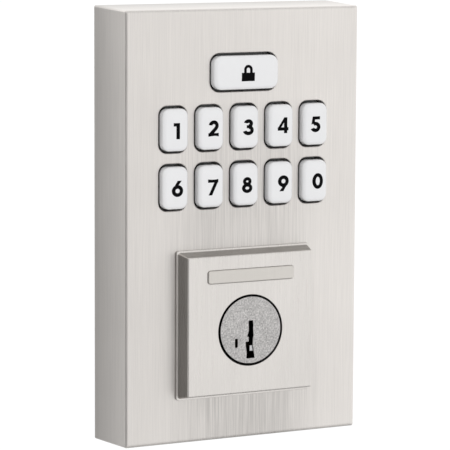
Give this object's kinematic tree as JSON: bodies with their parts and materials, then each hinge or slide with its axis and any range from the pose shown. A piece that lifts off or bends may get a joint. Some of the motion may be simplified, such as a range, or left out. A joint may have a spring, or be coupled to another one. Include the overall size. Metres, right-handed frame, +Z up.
{
  "type": "keypad smart lock",
  "caption": "Outdoor half of a keypad deadbolt: slim square-edged satin-nickel housing, white push buttons, raised square trim with a key cylinder, standoffs and torque blade behind.",
  "frame": {"origin": "where the key cylinder's axis meets the door's face, at the middle of the door's cross bore", "axes": "+X to the right as the keypad is faced, +Y into the door along the key, +Z up"},
  "size_m": [0.0712, 0.0815, 0.1178],
  "materials": {
    "satin_nickel": "vertical brushed satin nickel",
    "plug_nickel": "bead-blasted nickel",
    "badge_nickel": "satin nickel, a shade darker",
    "button_white": "glossy white, printed black",
    "silicone": "milky silicone",
    "board_green": "solder resist",
    "black_plastic": "moulded black",
    "lamp_clear": "clear epoxy",
    "steel": "bright turned steel",
    "zinc_plate": "zinc-plated, dull",
    "cast_zinc": "as cast",
    "brass": "machined",
    "foam_black": "closed-cell foam"
  },
  "bodies": {
    "lock_body": {"front_housing": "satin_nickel", "cylinder_trim": "satin_nickel", "name_badge": "badge_nickel", "keypad_membrane": "silicone", "circuit_board": "board_green", "control_chip": "black_plastic", "sounder": "black_plastic", "cable_header": "black_plastic", "status_lamp_left": "lamp_clear", "status_lamp_right": "lamp_clear", "back_plate": "zinc_plate", "back_plate_screw_1": "steel", "back_plate_screw_2": "steel", "back_plate_screw_3": "steel", "back_plate_screw_4": "steel", "weather_gasket": "foam_black", "cylinder_housing": "cast_zinc", "cylinder_screw_1": "steel", "cylinder_screw_2": "steel", "mounting_post_left": "steel", "mounting_post_right": "steel"},
    "key_lock": {"button_lock": "button_white"},
    "key_1": {"button_1": "button_white"},
    "key_2": {"button_2": "button_white"},
    "key_3": {"button_3": "button_white"},
    "key_4": {"button_4": "button_white"},
    "key_5": {"button_5": "button_white"},
    "key_6": {"button_6": "button_white"},
    "key_7": {"button_7": "button_white"},
    "key_8": {"button_8": "button_white"},
    "key_9": {"button_9": "button_white"},
    "key_0": {"button_0": "button_white"},
    "plug": {"key_plug": "plug_nickel", "keyway_guard": "steel", "pin_cover": "brass", "pin_spring_1": "steel", "pin_spring_2": "steel", "pin_spring_3": "steel", "pin_spring_4": "steel", "pin_spring_5": "steel", "sidebar_spring_1": "steel", "sidebar_spring_2": "steel", "carrier_spring": "steel", "cylinder_clip": "steel", "torque_blade": "steel", "blade_screw_1": "steel", "blade_screw_2": "steel"},
    "pin_1": {"key_pin_1": "brass", "rack_1": "steel"},
    "pin_2": {"key_pin_2": "brass", "rack_2": "steel"},
    "pin_3": {"key_pin_3": "brass", "rack_3": "steel"},
    "pin_4": {"key_pin_4": "brass", "rack_4": "steel"},
    "pin_5": {"key_pin_5": "brass", "rack_5": "steel"},
    "locking_bar": {"sidebar": "brass"},
    "carrier": {"rekey_carrier": "brass"}
  },
  "joints": [
    {"name": "press_lock", "type": "slide", "parent": "lock_body", "child": "key_lock", "axis": [0, 1, 0], "range_m": [0, 0.0012], "stiffness_N_per_m": 400, "deforming": ["keypad_membrane"]},
    {"name": "press_1", "type": "slide", "parent": "lock_body", "child": "key_1", "axis": [0, 1, 0], "range_m": [0, 0.0012], "stiffness_N_per_m": 400, "deforming": ["keypad_membrane"]},
    {"name": "press_2", "type": "slide", "parent": "lock_body", "child": "key_2", "axis": [0, 1, 0], "range_m": [0, 0.0012], "stiffness_N_per_m": 400, "deforming": ["keypad_membrane"]},
    {"name": "press_3", "type": "slide", "parent": "lock_body", "child": "key_3", "axis": [0, 1, 0], "range_m": [0, 0.0012], "stiffness_N_per_m": 400, "deforming": ["keypad_membrane"]},
    {"name": "press_4", "type": "slide", "parent": "lock_body", "child": "key_4", "axis": [0, 1, 0], "range_m": [0, 0.0012], "stiffness_N_per_m": 400, "deforming": ["keypad_membrane"]},
    {"name": "press_5", "type": "slide", "parent": "lock_body", "child": "key_5", "axis": [0, 1, 0], "range_m": [0, 0.0012], "stiffness_N_per_m": 400, "deforming": ["keypad_membrane"]},
    {"name": "press_6", "type": "slide", "parent": "lock_body", "child": "key_6", "axis": [0, 1, 0], "range_m": [0, 0.0012], "stiffness_N_per_m": 400, "deforming": ["keypad_membrane"]},
    {"name": "press_7", "type": "slide", "parent": "lock_body", "child": "key_7", "axis": [0, 1, 0], "range_m": [0, 0.0012], "stiffness_N_per_m": 400, "deforming": ["keypad_membrane"]},
    {"name": "press_8", "type": "slide", "parent": "lock_body", "child": "key_8", "axis": [0, 1, 0], "range_m": [0, 0.0012], "stiffness_N_per_m": 400, "deforming": ["keypad_membrane"]},
    {"name": "press_9", "type": "slide", "parent": "lock_body", "child": "key_9", "axis": [0, 1, 0], "range_m": [0, 0.0012], "stiffness_N_per_m": 400, "deforming": ["keypad_membrane"]},
    {"name": "press_0", "type": "slide", "parent": "lock_body", "child": "key_0", "axis": [0, 1, 0], "range_m": [0, 0.0012], "stiffness_N_per_m": 400, "deforming": ["keypad_membrane"]},
    {"name": "plug_turn", "type": "hinge", "parent": "lock_body", "child": "plug", "pos_m": [0, 0, 0], "axis": [0, 1, 0], "range_deg": [-90, 90]},
    {"name": "pin_lift_1", "type": "slide", "parent": "plug", "child": "pin_1", "axis": [0, 0, 1], "range_m": [0, 0.0032], "stiffness_N_per_m": 60, "deforming": ["pin_spring_1"]},
    {"name": "pin_lift_2", "type": "slide", "parent": "plug", "child": "pin_2", "axis": [0, 0, 1], "range_m": [0, 0.0032], "stiffness_N_per_m": 60, "deforming": ["pin_spring_2"]},
    {"name": "pin_lift_3", "type": "slide", "parent": "plug", "child": "pin_3", "axis": [0, 0, 1], "range_m": [0, 0.0032], "stiffness_N_per_m": 60, "deforming": ["pin_spring_3"]},
    {"name": "pin_lift_4", "type": "slide", "parent": "plug", "child": "pin_4", "axis": [0, 0, 1], "range_m": [0, 0.0032], "stiffness_N_per_m": 60, "deforming": ["pin_spring_4"]},
    {"name": "pin_lift_5", "type": "slide", "parent": "plug", "child": "pin_5", "axis": [0, 0, 1], "range_m": [0, 0.0032], "stiffness_N_per_m": 60, "deforming": ["pin_spring_5"]},
    {"name": "locking_bar_slide", "type": "slide", "parent": "plug", "child": "locking_bar", "axis": [1, 0, 0], "range_m": [0, 0.0006], "stiffness_N_per_m": 120, "deforming": ["sidebar_spring_1", "sidebar_spring_2"]},
    {"name": "carrier_slide", "type": "slide", "parent": "plug", "child": "carrier", "axis": [0, 1, 0], "range_m": [0, 0.0015], "stiffness_N_per_m": 120, "deforming": ["carrier_spring"]}
  ]
}
